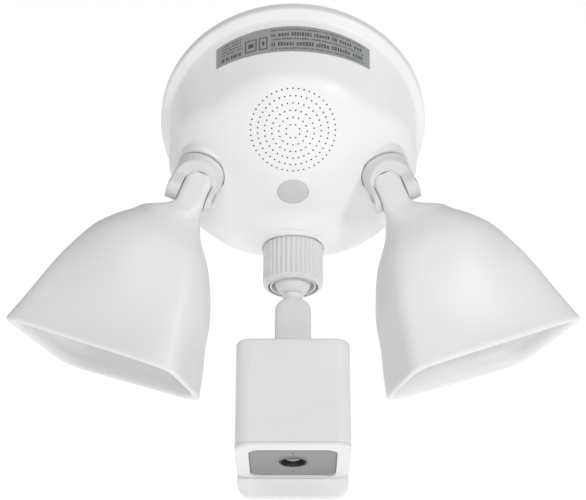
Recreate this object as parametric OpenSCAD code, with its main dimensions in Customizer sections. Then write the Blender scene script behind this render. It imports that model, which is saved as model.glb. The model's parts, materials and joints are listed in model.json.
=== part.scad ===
// Floodlight security camera: a round wall canopy, two bell-shaped lamp heads on forked
// knuckles, and a box camera on a ball joint. Millimetres, +Z up, the wall is the plane Y = 0
// and the fixture stands out of it along -Y.

/* [Canopy] */
// Radius of the rim against the wall
rim_r = 80; // [78:0.5:82]
// Radius of the ridge between the rim and the body
ridge_r = 74.5; // [73:0.5:76]
// Distance of the front dome's highest point from the wall
apex_t = 59; // [58:0.5:60]
// Radius of the front dome
dome_r = 94.7; // [92:0.5:98]
// Wall thickness of the canopy
cover_wall = 2.6; // [2:0.1:3]
// Spacing of the two wall screws
wall_screw_spacing = 88.9; // [83:0.1:92]

/* [Camera mount] */
// Downward slope of the camera's axis
camera_slope = 28.5; // [27:0.5:30]
// Distance of the ball's centre from the wall
ball_out = 68; // [67:0.5:69]
// Distance of the ball's centre below the canopy's centre
ball_drop = 68.2; // [67:0.5:69]
// Radius of the ball
ball_r = 11.5; // [11:0.1:12]
// Outer radius of the lock collar
collar_r = 18; // [17.6:0.1:18.4]

/* [Camera] */
// Width of the camera box
camera_w = 65; // [60:1:68]
// Height of the camera box
camera_h = 59.5; // [56:0.5:62]
// Length of the camera box
camera_l = 64.5; // [60:0.5:68]
// Distance from the ball's centre to the back of the box
camera_back = 51.4; // [48:0.2:54]

/* [Lamps] */
// Distance of a knuckle's tilt pin from the canopy's middle plane
pin_x = 59.5; // [59:0.5:60]
// Distance of the tilt pin from the wall
pin_out = 61.7; // [61:0.1:63]
// Height of the tilt pin
pin_z = -10.5; // [-11:0.5:-10]
// Outward lean of a knuckle
knuckle_out = 18.5; // [18:0.5:19]
// Downward lean of a knuckle
knuckle_down = 13.5; // [13:0.5:14]
// Turn of a knuckle about its own axis
knuckle_turn = 17.5; // [16:0.5:18]
// Tilt of a lamp in its knuckle
lamp_tilt = 17.5; // [16:0.5:19]
// Half the width of a lamp's mouth
mouth_w = 60; // [56:0.5:62]
// Distance from the tilt pin to the mouth
lamp_l = 105.8; // [102:0.2:108]
// Wall thickness of a lamp's shell
lamp_wall = 2.4; // [2:0.1:3]

/* [Hidden] */
$fn = 64;

// Canopy body
rim_t = 4.5;                    // straight part of the rim
ridge_t = 8.7;                  // distance of the ridge from the wall
shoulder_r = 55;                // where the upper wall meets the dome
shoulder_t = 41.4;
belly_front = 50;               // flat front of the fuller lower half
belly_round = 14;               // radius of its rounded edge
belly_top = 2;                  // height at which the lower half begins
plate_t = 3;                    // thickness of the back plate
slot_w = 5.2;
slot_l = 14;
speaker_z = 28.6;
window_z = -12.2;
window_r = 9;
label_w = 88.8;
dome_mid_t = apex_t - dome_r;   // centre of the dome's sphere
run = 0.05;                     // radial clearance of a running fit
gap = 0.3;                      // clearance between curved faces that move

// Ball joint, measured along the camera's axis from the ball's centre
liner_r = 15.2;
cup_r = liner_r + gap;
collar_front = 5.9;
collar_back = -21;
socket_r = 16.3;
stem_r = 5.9;
spigot_r = 4;
paddle_w = 21.6;
paddle_t = 12;

// Camera box
box_round = 9;
box_wall = 2.4;
bezel_t = 2.9;
box_front = camera_back + camera_l;
panel_w = 49.2;
panel_h = 44.4;
lens_r = 8;
chin_reach = 11;
chin_t = 6.8;

// Knuckle, measured along its axis from the tilt pin
seat_drop = 20;                 // from the pin down to the canopy's boss
flange_r = 14.5;
flange_t = 4.4;
seal_t = 0.5;
ear_r = 7.4;                    // the ears' rounded ends clear the back of the lamp's bell
nut_r = 10.5;
boss_r = 17;
ear_out = 14;                    // from the middle to the ears' outer faces
tongue_w = 16.4;
tongue_x = 1.6;                  // the tongue sits a little inboard of the knuckle's middle
tongue_r = 8;
tongue_reach = 13.4;             // its round end, past the pin
yoke_stem_r = 8;
boss_t = 10;
bolt_r = 2.6;

// Lamp shell
neck_x = -11.3;                 // the mouth's centre, seen from the pin, outward
neck_y = -22.4;                 // and downward
bell_rings = 12;
bell_sides = 40;
bell_back = 97.6;                 // distance from the mouth to the closed end
cavity_back = 80;               // distance from the mouth to the end of the cavity
lip_t = 4;                       // the mouth's thicker edge
lens_in = 26;                   // distance of the lens from the mouth
reflector_in = 56;
optics_y = 8;                    // the reflector, board and heat sink sit below the neck
board_in = 60;
sink_in = 76;

// Places: local z runs out of the wall, along the camera, out of a knuckle or along a beam
module from_wall() { rotate([90, 0, 0]) children(); }
module on_dome(z) { translate([0, -dome_mid_t, 0]) rotate([90 - asin(z / dome_r), 0, 0]) children(); }
module on_ball() { translate([0, -ball_out, -ball_drop]) rotate([90 + camera_slope, 0, 0]) children(); }
module on_knuckle(side) {
    mirror([side > 0 ? 1 : 0, 0, 0]) translate([-pin_x, -pin_out, pin_z])
        rotate([0, 0, -knuckle_out]) rotate([90 + knuckle_down, 0, 0]) rotate([0, 0, -knuckle_turn]) children();
}
module on_lamp(side) { on_knuckle(side) rotate([lamp_tilt, 0, 0]) children(); }
// From the mouth's centre, z runs back along the lamp
module in_lamp(side) { on_lamp(side) translate([neck_x, neck_y, lamp_l]) mirror([0, 0, 1]) children(); }

// Shared shapes
module tube(r_out, r_in, h) {
    difference() {
        cylinder(r = r_out, h = h);
        translate([0, 0, -1]) cylinder(r = r_in, h = h + 2);
    }
}
module round_rect(w, h, r) {
    square([w - 2 * r, h], center = true);
    square([w, h - 2 * r], center = true);
    for (x = [-1, 1], y = [-1, 1]) translate([x * (w / 2 - r), y * (h / 2 - r)]) circle(r);
}
module rounded_bar(w, h, r, l) { linear_extrude(l) round_rect(w, h, r); }
module pan_screw(r, l) {
    translate([0, 0, -l]) cylinder(r = r, h = l);
    difference() {
        cylinder(r = 2 * r, h = 1.2 * r);
        translate([0, 0, 0.5 * r]) cylinder(r = 0.9 * r, h = r, $fn = 6);
    }
}
module hex_nut(r_out, r_in, h) {
    difference() {
        cylinder(r = r_out, h = h, $fn = 6);
        translate([0, 0, -1]) cylinder(r = r_in, h = h + 2);
    }
}

// Canopy
module upper_body(inset) {
    intersection() {
        rotate_extrude() polygon([[0, -inset], [rim_r - inset, -inset], [rim_r - inset, rim_t - inset / 2],
            [rim_r - 1.5 - inset, rim_t + 2 - inset], [ridge_r - inset, ridge_t - inset / 2],
            [shoulder_r - inset, shoulder_t], [shoulder_r - inset, 70], [0, 70]]);
        translate([0, 0, dome_mid_t]) sphere(r = dome_r - inset, $fn = 128);
    }
}
module lower_body(inset) {
    r = ridge_r - inset;
    t = belly_front - inset;
    intersection() {
        rotate_extrude() {
            square([r, t - belly_round]);
            square([r - belly_round, t]);
            translate([r - belly_round, t - belly_round]) circle(belly_round);
        }
        translate([-rim_r, -2 * rim_r + belly_top - inset, -1]) cube([2 * rim_r, 2 * rim_r, 80]);
    }
}
module body_shape(inset) {
    from_wall() upper_body(inset);
    from_wall() lower_body(inset);
    on_ball() translate([0, 0, -46]) cylinder(r1 = 32 - inset, r2 = 21 - inset, h = 46 + collar_back - 0.6 - inset);
}
module canopy_cover() {
    color("white") difference() {
        union() {
            difference() {
                body_shape(0);
                body_shape(cover_wall);
            }
            for (side = [-1, 1]) intersection() {
                on_knuckle(side) translate([0, 0, -seat_drop - boss_t]) cylinder(r = boss_r, h = boss_t);
                from_wall() cylinder(r = ridge_r, h = 80);
            }
            on_ball() translate([0, 0, collar_back - 6.6]) cylinder(r = 20, h = 6);
        }
        for (side = [-1, 1]) on_knuckle(side) translate([0, 0, -seat_drop]) {
            translate([0, 0, -boss_t - 8]) cylinder(r = yoke_stem_r + run, h = boss_t + 12);
            translate([0, 0, -boss_t - 8]) cylinder(r = nut_r + 0.6, h = 8);
            cylinder(r = flange_r + 1.5, h = 12);
        }
        on_ball() translate([0, 0, collar_back - 0.4]) cylinder(r = collar_r + 0.6, h = 30);
        on_dome(speaker_z) for (a = [45:90:315]) rotate([0, 0, a]) translate([23.2, 0, dome_r - 6])
            cylinder(r = 1.02, h = 1.7);
        on_ball() translate([0, 0, collar_back - 14]) cylinder(r = socket_r, h = 20);
        on_dome(window_z) translate([0, 0, dome_r - 6]) cylinder(r = window_r + 0.1, h = 10);
        from_wall() for (a = [-50, -130]) rotate([0, 0, a]) translate([0, 0, 3.6]) rotate([0, 90, 0])
            cylinder(r = 1.6, h = 90);
        from_wall() for (a = [-50, -130]) rotate([0, 0, a]) translate([rim_r - 1, 0, 3.6]) rotate([0, 90, 0])
            cylinder(r = 3.6, h = 9);
    }
}
module back_plate() {
    color("gainsboro") from_wall() difference() {
        union() {
            cylinder(r = 73, h = plate_t);
            for (a = [-50, -130]) rotate([0, 0, a]) translate([65, -5, 0]) cube([6.5, 10, 7]);
            for (x = [-36, 36], y = [-38, 12]) translate([x, y, 0]) cylinder(r = 4, h = 12);
        }
        for (x = [-1, 1]) translate([x * wall_screw_spacing / 2, 0, -1]) linear_extrude(6) {
            square([slot_l - slot_w, slot_w], center = true);
            for (e = [-1, 1]) translate([e * (slot_l - slot_w) / 2, 0]) circle(slot_w / 2);
        }
        translate([0, 46, -1]) cylinder(r = 11, h = 6);
        for (a = [-50, -130]) rotate([0, 0, a]) translate([50, 0, 3.6]) rotate([0, 90, 0])
            cylinder(r = 1.5, h = 40);
        for (x = [-36, 36], y = [-38, 12]) translate([x, y, 4]) cylinder(r = 1.25, h = 9);
    }
}
module wall_gasket() { color("dimgray") from_wall() tube(77.2, 73.2, 2); }
module cover_screws() {
    color("silver") from_wall() for (a = [-50, -130]) rotate([0, 0, a]) translate([rim_r - 1, 0, 3.6])
        rotate([0, 90, 0]) pan_screw(1.5, 11);
}
module spec_label() {
    slope = (ridge_r - shoulder_r) / (shoulder_t - ridge_t);
    function wall_r(t) = ridge_r - slope * (t - ridge_t);
    color("darkgray") from_wall() intersection() {
        rotate([0, 0, 90 - 46]) rotate_extrude(angle = 92)
            polygon([[wall_r(12.8) + 0.14, 12.8], [wall_r(12.8) + 0.38, 12.8], [wall_r(27) + 0.38, 27], [wall_r(27) + 0.14, 27]]);
        translate([-label_w / 2, 0, 0]) cube([label_w, 100, 50]);
    }
}
module sensor_window() {
    color("gray") intersection() {
        on_dome(window_z) translate([0, 0, dome_r - 4]) cylinder(r = window_r, h = 6);
        translate([0, -dome_mid_t, 0]) difference() {
            sphere(r = dome_r, $fn = 128);
            sphere(r = dome_r - 2, $fn = 128);
        }
    }
}
module speaker() {
    color("dimgray") on_dome(speaker_z) translate([0, 0, dome_r - 12.1]) {
        difference() {
            union() {
                translate([0, 0, 3]) cylinder(r = 25, h = 2);
                translate([0, 0, -4]) cylinder(r1 = 13, r2 = 20.8, h = 7);
                translate([0, 0, -13]) cylinder(r = 14, h = 9);
            }
            translate([0, 0, -2]) cylinder(r1 = 4, r2 = 19.5, h = 7.5);
            for (a = [45:90:315]) rotate([0, 0, a]) translate([23.2, 0, -1]) cylinder(r = 1.1, h = 9);
        }
    }
}
module speaker_gasket() {
    color("black") on_dome(speaker_z) translate([0, 0, dome_r - 7.1]) difference() {
        tube(24.9, 21.5, 0.95);
        for (a = [45:90:315]) rotate([0, 0, a]) translate([23.2, 0, -1]) cylinder(r = 1.02, h = 3);
    }
}
module speaker_screws() {
    color("silver") on_dome(speaker_z) for (a = [45:90:315]) rotate([0, 0, a])
        translate([23.2, 0, dome_r - 9.1]) mirror([0, 0, 1]) pan_screw(1, 4.7);
}
module main_board() {
    color("darkgreen") from_wall() translate([0, -13, 12]) difference() {
        union() {
            translate([-42, -31, 0]) cube([84, 62, 1.6]);
            translate([-24, -22, 1.6]) cube([16, 16, 2.4]);
            translate([4, -24, 1.6]) cube([12, 12, 1.8]);
            translate([18, -20, 1.6]) cube([7, 22, 6]);
        }
        for (x = [-36, 36], y = [-25, 25]) translate([x, y, -1]) cylinder(r = 1.6, h = 4);
    }
}
module board_screws() {
    color("silver") from_wall() for (x = [-36, 36], y = [-38, 12]) translate([x, y, 13.6]) pan_screw(1.2, 7);
}
module power_module() {
    color("black") from_wall() translate([-28, 2, 13.6]) {
        cube([20, 12, 14]);
        translate([32, 0, 0]) cube([18, 12, 11]);
        translate([22, 6, 0]) cylinder(r = 4, h = 16);
    }
}

// Ball joint
module ball_socket() {
    color("whitesmoke") on_ball() difference() {
        translate([0, 0, -38]) cylinder(r = socket_r - 0.01, h = 37);
        sphere(r = cup_r);
        translate([0, 0, -39]) cylinder(r = 9, h = 30);
    }
}
module socket_nut() { color("silver") on_ball() translate([0, 0, -36.5]) hex_nut(22, socket_r, 5); }
module lock_collar() {
    ribs = 36;
    chamfer = 2.2;
    color("white") on_ball() difference() {
        union() {
            translate([0, 0, collar_back]) linear_extrude(collar_front - collar_back - chamfer) {
                circle(collar_r - 0.7, $fn = 128);
                for (i = [1:ribs]) rotate(i * 360 / ribs) translate([collar_r - 0.9, 0]) circle(0.9, $fn = 16);
            }
            translate([0, 0, collar_front - chamfer - 0.01]) cylinder(r1 = collar_r - 1, r2 = collar_r - 2.4, h = chamfer);
        }
        sphere(r = cup_r);
        translate([0, 0, collar_back - 1]) cylinder(r = socket_r + gap, h = 0.5 - collar_back);
    }
}
module ball_liner() {
    color("dimgray") on_ball() difference() {
        intersection() {
            sphere(r = liner_r);
            translate([0, 0, -7]) cylinder(r = 20, h = 12.2);
        }
        sphere(r = ball_r + gap);
    }
}
module ball() {
    color("white") on_ball() difference() {
        sphere(r = ball_r);
        translate([0, 0, -5]) cylinder(r = spigot_r, h = 20);
    }
}

// Camera
module camera_stem() {
    color("white") on_ball() difference() {
        union() {
            translate([0, 0, -4.8]) cylinder(r = spigot_r - run, h = 17);
            translate([0, 0, 12]) cylinder(r = stem_r, h = 8);
            intersection() {
                translate([0, 0, 15]) rounded_bar(paddle_w, paddle_t, 5, camera_back - 15.05);
                rotate([90, 0, 0]) translate([0, 0, -20]) linear_extrude(40) {
                    translate([0, 15 + paddle_w / 2]) circle(paddle_w / 2);
                    translate([-paddle_w / 2, 15 + paddle_w / 2]) square([paddle_w, camera_back]);
                }
            }
            translate([0, 0, camera_back - 2]) cylinder(r = 5, h = 12);
        }
        translate([0, 0, -6]) cylinder(r = 1.8, h = 80);
    }
}
module stem_nut() { color("silver") on_ball() translate([0, 0, camera_back + box_wall + 0.05]) hex_nut(9, 5.02, 5); }
module camera_housing() {
    color("white") on_ball() difference() {
        translate([0, 0, camera_back]) rounded_bar(camera_w, camera_h, box_round, camera_l - bezel_t - 0.6);
        translate([0, 0, camera_back + box_wall])
            rounded_bar(camera_w - 2 * box_wall, camera_h - 2 * box_wall, box_round - box_wall, camera_l);
        translate([0, 0, camera_back - 1]) cylinder(r = 5.02, h = 6);
    }
}
module camera_gasket() {
    color("dimgray") on_ball() translate([0, 0, box_front - bezel_t - 0.6]) linear_extrude(0.6) difference() {
        round_rect(camera_w - 0.8, camera_h - 0.8, box_round);
        round_rect(camera_w - 2 * box_wall, camera_h - 2 * box_wall, box_round - box_wall);
    }
}
module camera_front() {
    color("white") on_ball() difference() {
        translate([0, 0, box_front - bezel_t]) rounded_bar(camera_w, camera_h, box_round, bezel_t);
        translate([0, 0, box_front - bezel_t + 0.8]) rounded_bar(panel_w + 0.4, panel_h + 0.4, 7, 5);
        translate([0, 0, box_front - bezel_t - 1]) cylinder(r = lens_r + 0.4, h = 9);
    }
}
module face_panel() {
    color("gray") on_ball() difference() {
        translate([0, 0, box_front - bezel_t + 0.8]) rounded_bar(panel_w, panel_h, 6.8, 1.4);
        translate([0, 0, box_front - 5]) cylinder(r = lens_r + 0.02, h = 9);
        for (y = [-15.5, 14]) translate([0, y, box_front - 1.3]) cylinder(r = 0.7, h = 4);
    }
}
module lens_barrel() {
    color("black") on_ball() translate([0, 0, box_front - 24]) difference() {
        cylinder(r = lens_r, h = 23.4);
        translate([0, 0, 1.2]) cylinder(r = 5, h = 30);
        translate([0, 0, 16]) cylinder(r = 6.6, h = 10);
    }
}
module lens_glass() {
    color("darkslategray") on_ball() translate([0, 0, box_front - 8]) cylinder(r = 6.58, h = 6);
}
module image_board() {
    color("darkgreen") on_ball() translate([0, 0, box_front - 25.6]) difference() {
        translate([-24, -21, 0]) cube([48, 42, 1.6]);
        for (x = [-20, 20], y = [-17, 17]) translate([x, y, -1]) cylinder(r = 1.3, h = 4);
    }
}
module camera_screws() {
    color("silver") on_ball() for (x = [-20, 20], y = [-17, 17]) translate([x, y, box_front - bezel_t - 2])
        translate([0, 0, -22]) {
            cylinder(r = 2.2, h = 1.28);
            translate([0, 0, 1.28]) cylinder(r = 1.2, h = 21);
        }
}
module camera_chin() {
    chin_l = 46;
    color("white") on_ball() translate([0, -camera_h / 2 - chin_t, box_front + chin_reach - chin_l / 2])
        rotate([-90, 0, 0]) rounded_bar(camera_w - 3, chin_l, 8, chin_t);
}

// Knuckles
module yoke(side) {
    color("white") on_knuckle(side) difference() {
        union() {
            translate([0, 0, -seat_drop + seal_t + 0.1]) cylinder(r = flange_r, h = flange_t);
            translate([0, 0, -seat_drop - boss_t - 8]) cylinder(r = yoke_stem_r, h = boss_t + 10);
            intersection() {
                translate([0, 0, -seat_drop + 2]) cylinder(r = flange_r + 0.1, h = 2 * seat_drop);
                difference() {
                    rotate([90, 0, 90]) translate([0, 0, -ear_out]) {
                        cylinder(r = ear_r, h = 2 * ear_out);
                        translate([-ear_r, 2 - seat_drop, 0]) cube([2 * ear_r, seat_drop - 2, 2 * ear_out]);
                    }
                    translate([tongue_x - tongue_w / 2 - 0.2, -20, -seat_drop + seal_t + flange_t + 0.1]) cube([tongue_w + 0.4, 40, 40]);
                }
            }
        }
        rotate([0, 90, 0]) translate([0, 0, -20]) cylinder(r = bolt_r, h = 40);
        translate([0, 0, -60]) cylinder(r = 4.5, h = 48);
        rotate([0, 90, 0]) translate([0, 0, ear_out - 2.2]) cylinder(r = 5, h = 9);
        rotate([0, 90, 0]) translate([0, 0, -ear_out - 6.8]) cylinder(r = 5.2, h = 9);
    }
}
module yoke_seal(side) {
    color("dimgray") on_knuckle(side) translate([0, 0, -seat_drop + 0.1]) tube(flange_r - 1, yoke_stem_r + 0.2, seal_t);
}
module swivel_nut(side) {
    color("silver") on_knuckle(side) translate([0, 0, -seat_drop - boss_t - 5.6]) hex_nut(nut_r, yoke_stem_r, 5.5);
}
module tilt_bolt(side) {
    color("silver") on_knuckle(side) rotate([0, 90, 0]) {
        translate([0, 0, -ear_out + 0.4]) cylinder(r = bolt_r, h = 2 * ear_out - 1.4);
        difference() {
            translate([0, 0, ear_out - 2.2]) cylinder(r = 4.6, h = 2);
            translate([0, 0, ear_out - 1.2]) cylinder(r = 2.3, h = 3, $fn = 6);
        }
    }
}
module tilt_nut(side) {
    color("silver") on_knuckle(side) rotate([0, 90, 0]) translate([0, 0, -ear_out + 0.2])
        hex_nut(4.8, bolt_r, 2);
}

// Lamps: s is the distance back from the mouth. The mouth is a rounded four-sided shape, and the
// sections turn oval towards the neck.
mouth_sides = [[107.5, 23.4], [28, 54.2], [-65, 36], [-143.5, 48.7]];  // where each side faces, and how far out
stations = [[0, 61.5, 0.5], [14, 57.4, 1], [27, 53.4, 1.2], [42, 49.3, 2], [57, 43, 2.3], [69, 36.4, 2.5],
    [78, 28.5, 3.2], [85.5, 21.2, 5.3], [93, 16.5, 7.2], [98, 12.5, 9.5]];  // s, half width, the middle's shift inboard
function ease(u) = let (v = min(1, max(0, u))) v * v * (3 - 2 * v);
function bell_half(s) = lookup(s, [for (p = stations) [p[0], p[1]]]);
function bell_shift(s) = lookup(s, [for (p = stations) [p[0], p[2]]]);
function bell_mid(s) = -neck_y * pow(max(0, s) / lamp_l, 1.15);
function sides_reach(a, cut) = pow([for (m = mouth_sides) pow(max(0, cos(a - m[0]) / (m[1] - cut)), 9)] * [1, 1, 1, 1], -1 / 9);
function oval_reach(a, cut_x, cut_y) = 1 / sqrt(pow(cos(a) / (60 - cut_x), 2) + pow(sin(a) / (39 - cut_y), 2));
function bell_point(s, a, inset) = let (
    wide = bell_half(s) / stations[0][1],
    tall = pow(wide, 0.9),
    even = 0.95 * ease((s - 4) / 88),
    r = (1 - even) * sides_reach(a, inset / wide) + even * oval_reach(a, inset / wide, inset / tall)
) [bell_shift(s) + wide * r * cos(a), bell_mid(s) + tall * r * sin(a), s];
// lip is how much thicker the wall is at the mouth
module bell_solid(inset, from, to, lip = 0) {
    n = bell_sides;
    m = bell_rings;
    points = [for (i = [0:m], j = [0:n - 1]) let (s = from + (to - from) * (1 - cos(90 * i / m)))
        bell_point(s, 360 * j / n, inset + lip * (1 - ease((s - 3) / 6)))];
    polyhedron(points, concat(
        [[for (j = [0:n - 1]) j]],
        [[for (j = [n - 1:-1:0]) m * n + j]],
        [for (i = [0:m - 1], j = [0:n - 1]) [i * n + j, (i + 1) * n + j, (i + 1) * n + (j + 1) % n]],
        [for (i = [0:m - 1], j = [0:n - 1]) [i * n + j, (i + 1) * n + (j + 1) % n, i * n + (j + 1) % n]]));
}
// A flat piece that fills the bell's inside at one depth
module bell_slice(s, inset, t) {
    linear_extrude(t) polygon([for (j = [0:bell_sides - 1])
        let (p = bell_point(s, 360 * j / bell_sides, inset)) [p[0], p[1]]]);
}
module lamp_shell(side) {
    color("white") difference() {
        union() {
            in_lamp(side) difference() {
                bell_solid(0, 0, bell_back);
                bell_solid(lamp_wall, -0.02, cavity_back, lip_t - lamp_wall);
            }
            on_lamp(side) translate([tongue_x, 0, 0]) intersection() {
                rotate([90, 0, 0]) translate([0, 0, -tongue_r]) linear_extrude(2 * tongue_r) hull() {
                    translate([0, tongue_w / 2 - tongue_reach]) circle(r = tongue_w / 2);
                    translate([-tongue_w / 2, 0]) square([tongue_w, 16]);
                }
                rotate([0, 90, 0]) translate([0, 0, -tongue_w]) hull() {
                    cylinder(r = tongue_reach, h = 2 * tongue_w);
                    translate([-20, 0, 0]) cylinder(r = tongue_reach, h = 2 * tongue_w);
                }
            }
        }
        on_lamp(side) rotate([0, 90, 0]) translate([0, 0, -20]) cylinder(r = bolt_r + run, h = 40);
    }
}
module lamp_lens(side) { color("white") in_lamp(side) translate([0, 0, lens_in]) bell_slice(lens_in + 4, lamp_wall + 1.2, 2.4); }
module lamp_gasket(side) {
    color("dimgray") in_lamp(side) translate([0, 0, lens_in + 2.4]) difference() {
        bell_slice(lens_in + 6, lamp_wall + 1, 1.6);
        translate([0, 0, -1]) bell_slice(lens_in + 6, lamp_wall + 4.5, 4);
    }
}
module reflector(side) {
    color("silver") in_lamp(side) translate([3, optics_y, 0]) rotate([0, 0, 17.5]) difference() {
        translate([0, 0, lens_in + 5]) cylinder(r1 = 18.4, r2 = 14.2, h = reflector_in - lens_in - 5);
        translate([0, 0, lens_in + 4.9]) cylinder(r1 = 17, r2 = 12.8, h = reflector_in - lens_in - 4.8);
    }
}
module led_board(side) {
    color("lightyellow") in_lamp(side) translate([3, optics_y, reflector_in]) {
        cylinder(r = 17, h = 1.6);
        for (a = [0:60:300]) rotate([0, 0, a]) translate([8, 0, -1]) translate([-2, -2, 0]) cube([4, 4, 1]);
        translate([-2, -2, -1]) cube([4, 4, 1]);
    }
}
module heat_sink(side) {
    color("silver") in_lamp(side) translate([3, optics_y, reflector_in + 1.6]) difference() {
        union() {
            cylinder(r = 17, h = 3);
            for (x = [-8:4:8]) translate([x - 0.7, -10, 0]) cube([1.4, 20, 14]);
        }
        for (a = [30, 150, 270]) rotate([0, 0, a]) translate([13.6, 0, -1]) cylinder(r = 1.2, h = 6);
    }
}
module lamp_screws(side) {
    color("silver") in_lamp(side) translate([3, optics_y, reflector_in + 4.6]) for (a = [30, 150, 270])
        rotate([0, 0, a]) translate([13.6, 0, 0]) {
            translate([0, 0, -3]) cylinder(r = 1.2, h = 3);
            cylinder(r = 2.2, h = 1.4);
        }
}

back_plate();
wall_gasket();
canopy_cover();
cover_screws();
spec_label();
sensor_window();
speaker();
speaker_gasket();
speaker_screws();
main_board();
board_screws();
power_module();
ball_socket();
socket_nut();
lock_collar();
ball_liner();
ball();
camera_stem();
stem_nut();
camera_housing();
camera_gasket();
camera_front();
face_panel();
lens_barrel();
lens_glass();
image_board();
camera_screws();
camera_chin();
yoke(-1);  // yoke_left
yoke_seal(-1);  // yoke_seal_left
swivel_nut(-1);  // swivel_nut_left
tilt_bolt(-1);  // tilt_bolt_left
tilt_nut(-1);  // tilt_nut_left
lamp_shell(-1);  // lamp_shell_left
heat_sink(-1);  // heat_sink_left
led_board(-1);  // led_board_left
reflector(-1);  // reflector_left
lamp_gasket(-1);  // lamp_gasket_left
lamp_lens(-1);  // lamp_lens_left
lamp_screws(-1);  // lamp_screws_left
yoke(1);  // yoke_right
yoke_seal(1);  // yoke_seal_right
swivel_nut(1);  // swivel_nut_right
tilt_bolt(1);  // tilt_bolt_right
tilt_nut(1);  // tilt_nut_right
lamp_shell(1);  // lamp_shell_right
heat_sink(1);  // heat_sink_right
led_board(1);  // led_board_right
reflector(1);  // reflector_right
lamp_gasket(1);  // lamp_gasket_right
lamp_lens(1);  // lamp_lens_right
lamp_screws(1);  // lamp_screws_right
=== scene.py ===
"""Floodlight security camera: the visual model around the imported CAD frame.

Metres in the scene; the shapes below are worked out in millimetres and scaled once in make_piece().
The wall is the plane Y = 0, the fixture stands out along -Y, and +Z is up.
"""
import json
import math
import random

import bmesh
import bpy
import numpy as np
from mathutils import Matrix, Vector


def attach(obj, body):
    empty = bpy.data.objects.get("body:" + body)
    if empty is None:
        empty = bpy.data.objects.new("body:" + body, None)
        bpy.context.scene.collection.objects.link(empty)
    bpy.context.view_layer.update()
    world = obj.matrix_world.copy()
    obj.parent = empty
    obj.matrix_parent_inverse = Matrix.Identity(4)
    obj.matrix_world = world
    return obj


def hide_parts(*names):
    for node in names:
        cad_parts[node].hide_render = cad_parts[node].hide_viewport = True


MM = 0.001

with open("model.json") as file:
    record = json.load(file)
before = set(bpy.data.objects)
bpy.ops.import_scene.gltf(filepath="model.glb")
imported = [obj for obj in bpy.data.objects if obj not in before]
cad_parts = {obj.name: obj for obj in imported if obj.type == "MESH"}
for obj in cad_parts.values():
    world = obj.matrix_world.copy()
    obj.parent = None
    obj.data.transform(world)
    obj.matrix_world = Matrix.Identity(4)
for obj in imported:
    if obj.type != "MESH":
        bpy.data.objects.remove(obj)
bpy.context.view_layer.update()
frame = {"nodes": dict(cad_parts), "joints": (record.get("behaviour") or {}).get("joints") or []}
nodes = frame["nodes"]
joints = {j["name"]: j for j in frame["joints"]}


# ---------------------------------------------------------------- places, from the frame
def joint_point(name):
    return np.array(joints[name]["pos_m"]) / MM


def joint_axis(name):
    axis = np.array(joints[name]["axis"], float)
    return axis / np.linalg.norm(axis)


def axes(x, z):
    """A frame as a 3x3 matrix whose columns are its x, y and z."""
    y = np.cross(z, x)
    return np.stack([x, y / np.linalg.norm(y), z], axis=1)


def turned_x(basis, degrees):
    """The basis turned about its own x."""
    c, s = math.cos(math.radians(degrees)), math.sin(math.radians(degrees))
    return basis @ np.array([[1, 0, 0], [0, c, -s], [0, s, c]])


LAMP_TILT = 17.5  # a lamp's tilt in its knuckle, degrees
BALL = joint_point("camera_pan")
CAMERA = axes(np.array([1.0, 0, 0]), joint_axis("camera_roll"))
PIN = joint_point("tilt_left")
KNUCKLE = axes(joint_axis("tilt_left"), joint_axis("swivel_left"))
LAMP = turned_x(KNUCKLE, LAMP_TILT)


def placed(points, origin, basis):
    return np.asarray(points) @ basis.T + origin


# ---------------------------------------------------------------- mesh helpers
def make_piece(name, points, faces, sharp=35):
    """A mesh object from points in millimetres, smooth but for edges sharper than the angle."""
    mesh = bpy.data.meshes.new(name)
    mesh.from_pydata([tuple(p) for p in np.asarray(points) * MM], [], faces)
    obj = bpy.data.objects.new(name, mesh)
    bpy.context.scene.collection.objects.link(obj)
    clean(obj)
    shade(obj, sharp)
    return obj


def clean(obj):
    """Merges doubled points and makes the faces point outward."""
    work = bmesh.new()
    work.from_mesh(obj.data)
    bmesh.ops.remove_doubles(work, verts=work.verts, dist=1e-7)
    bmesh.ops.recalc_face_normals(work, faces=work.faces)
    work.to_mesh(obj.data)
    work.free()


def shade(obj, sharp):
    """Smooth shading, but for edges sharper than the angle."""
    obj.data.polygons.foreach_set("use_smooth", [True] * len(obj.data.polygons))
    obj.data.set_sharp_from_angle(angle=math.radians(sharp))


def grid(rows, cols, close_rows=False):
    """Faces of a grid whose columns wrap round, row after row."""
    faces = []
    for i in range(rows if close_rows else rows - 1):
        a, b = i * cols, (i + 1) % rows * cols
        for j in range(cols):
            k = (j + 1) % cols
            faces.append((a + j, a + k, b + k, b + j))
    return faces


def loft(name, rings, origin, basis, close=False, sharp=35):
    """A piece through rings of equal count: a closed tube, or one with flat ends."""
    count = len(rings[0])
    faces = grid(len(rings), count, close)
    if not close:
        faces.append(tuple(range(count - 1, -1, -1)))
        faces.append(tuple(range((len(rings) - 1) * count, len(rings) * count)))
    return make_piece(name, placed(np.concatenate(rings), origin, basis), faces, sharp)


def rounded_ring(width, height, radius, z, count=96):
    """A rectangle with round corners, as points at equal steps of angle round each corner."""
    per = count // 4
    points = []
    for corner, (sx, sy) in enumerate([(1, 1), (-1, 1), (-1, -1), (1, -1)]):
        for i in range(per):
            a = math.radians(90 * (corner + i / (per - 1)))
            x = sx * (width / 2 - radius) + radius * math.cos(a)
            y = sy * (height / 2 - radius) + radius * math.sin(a)
            points.append((x, y, z))
    return np.array(points)


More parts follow.
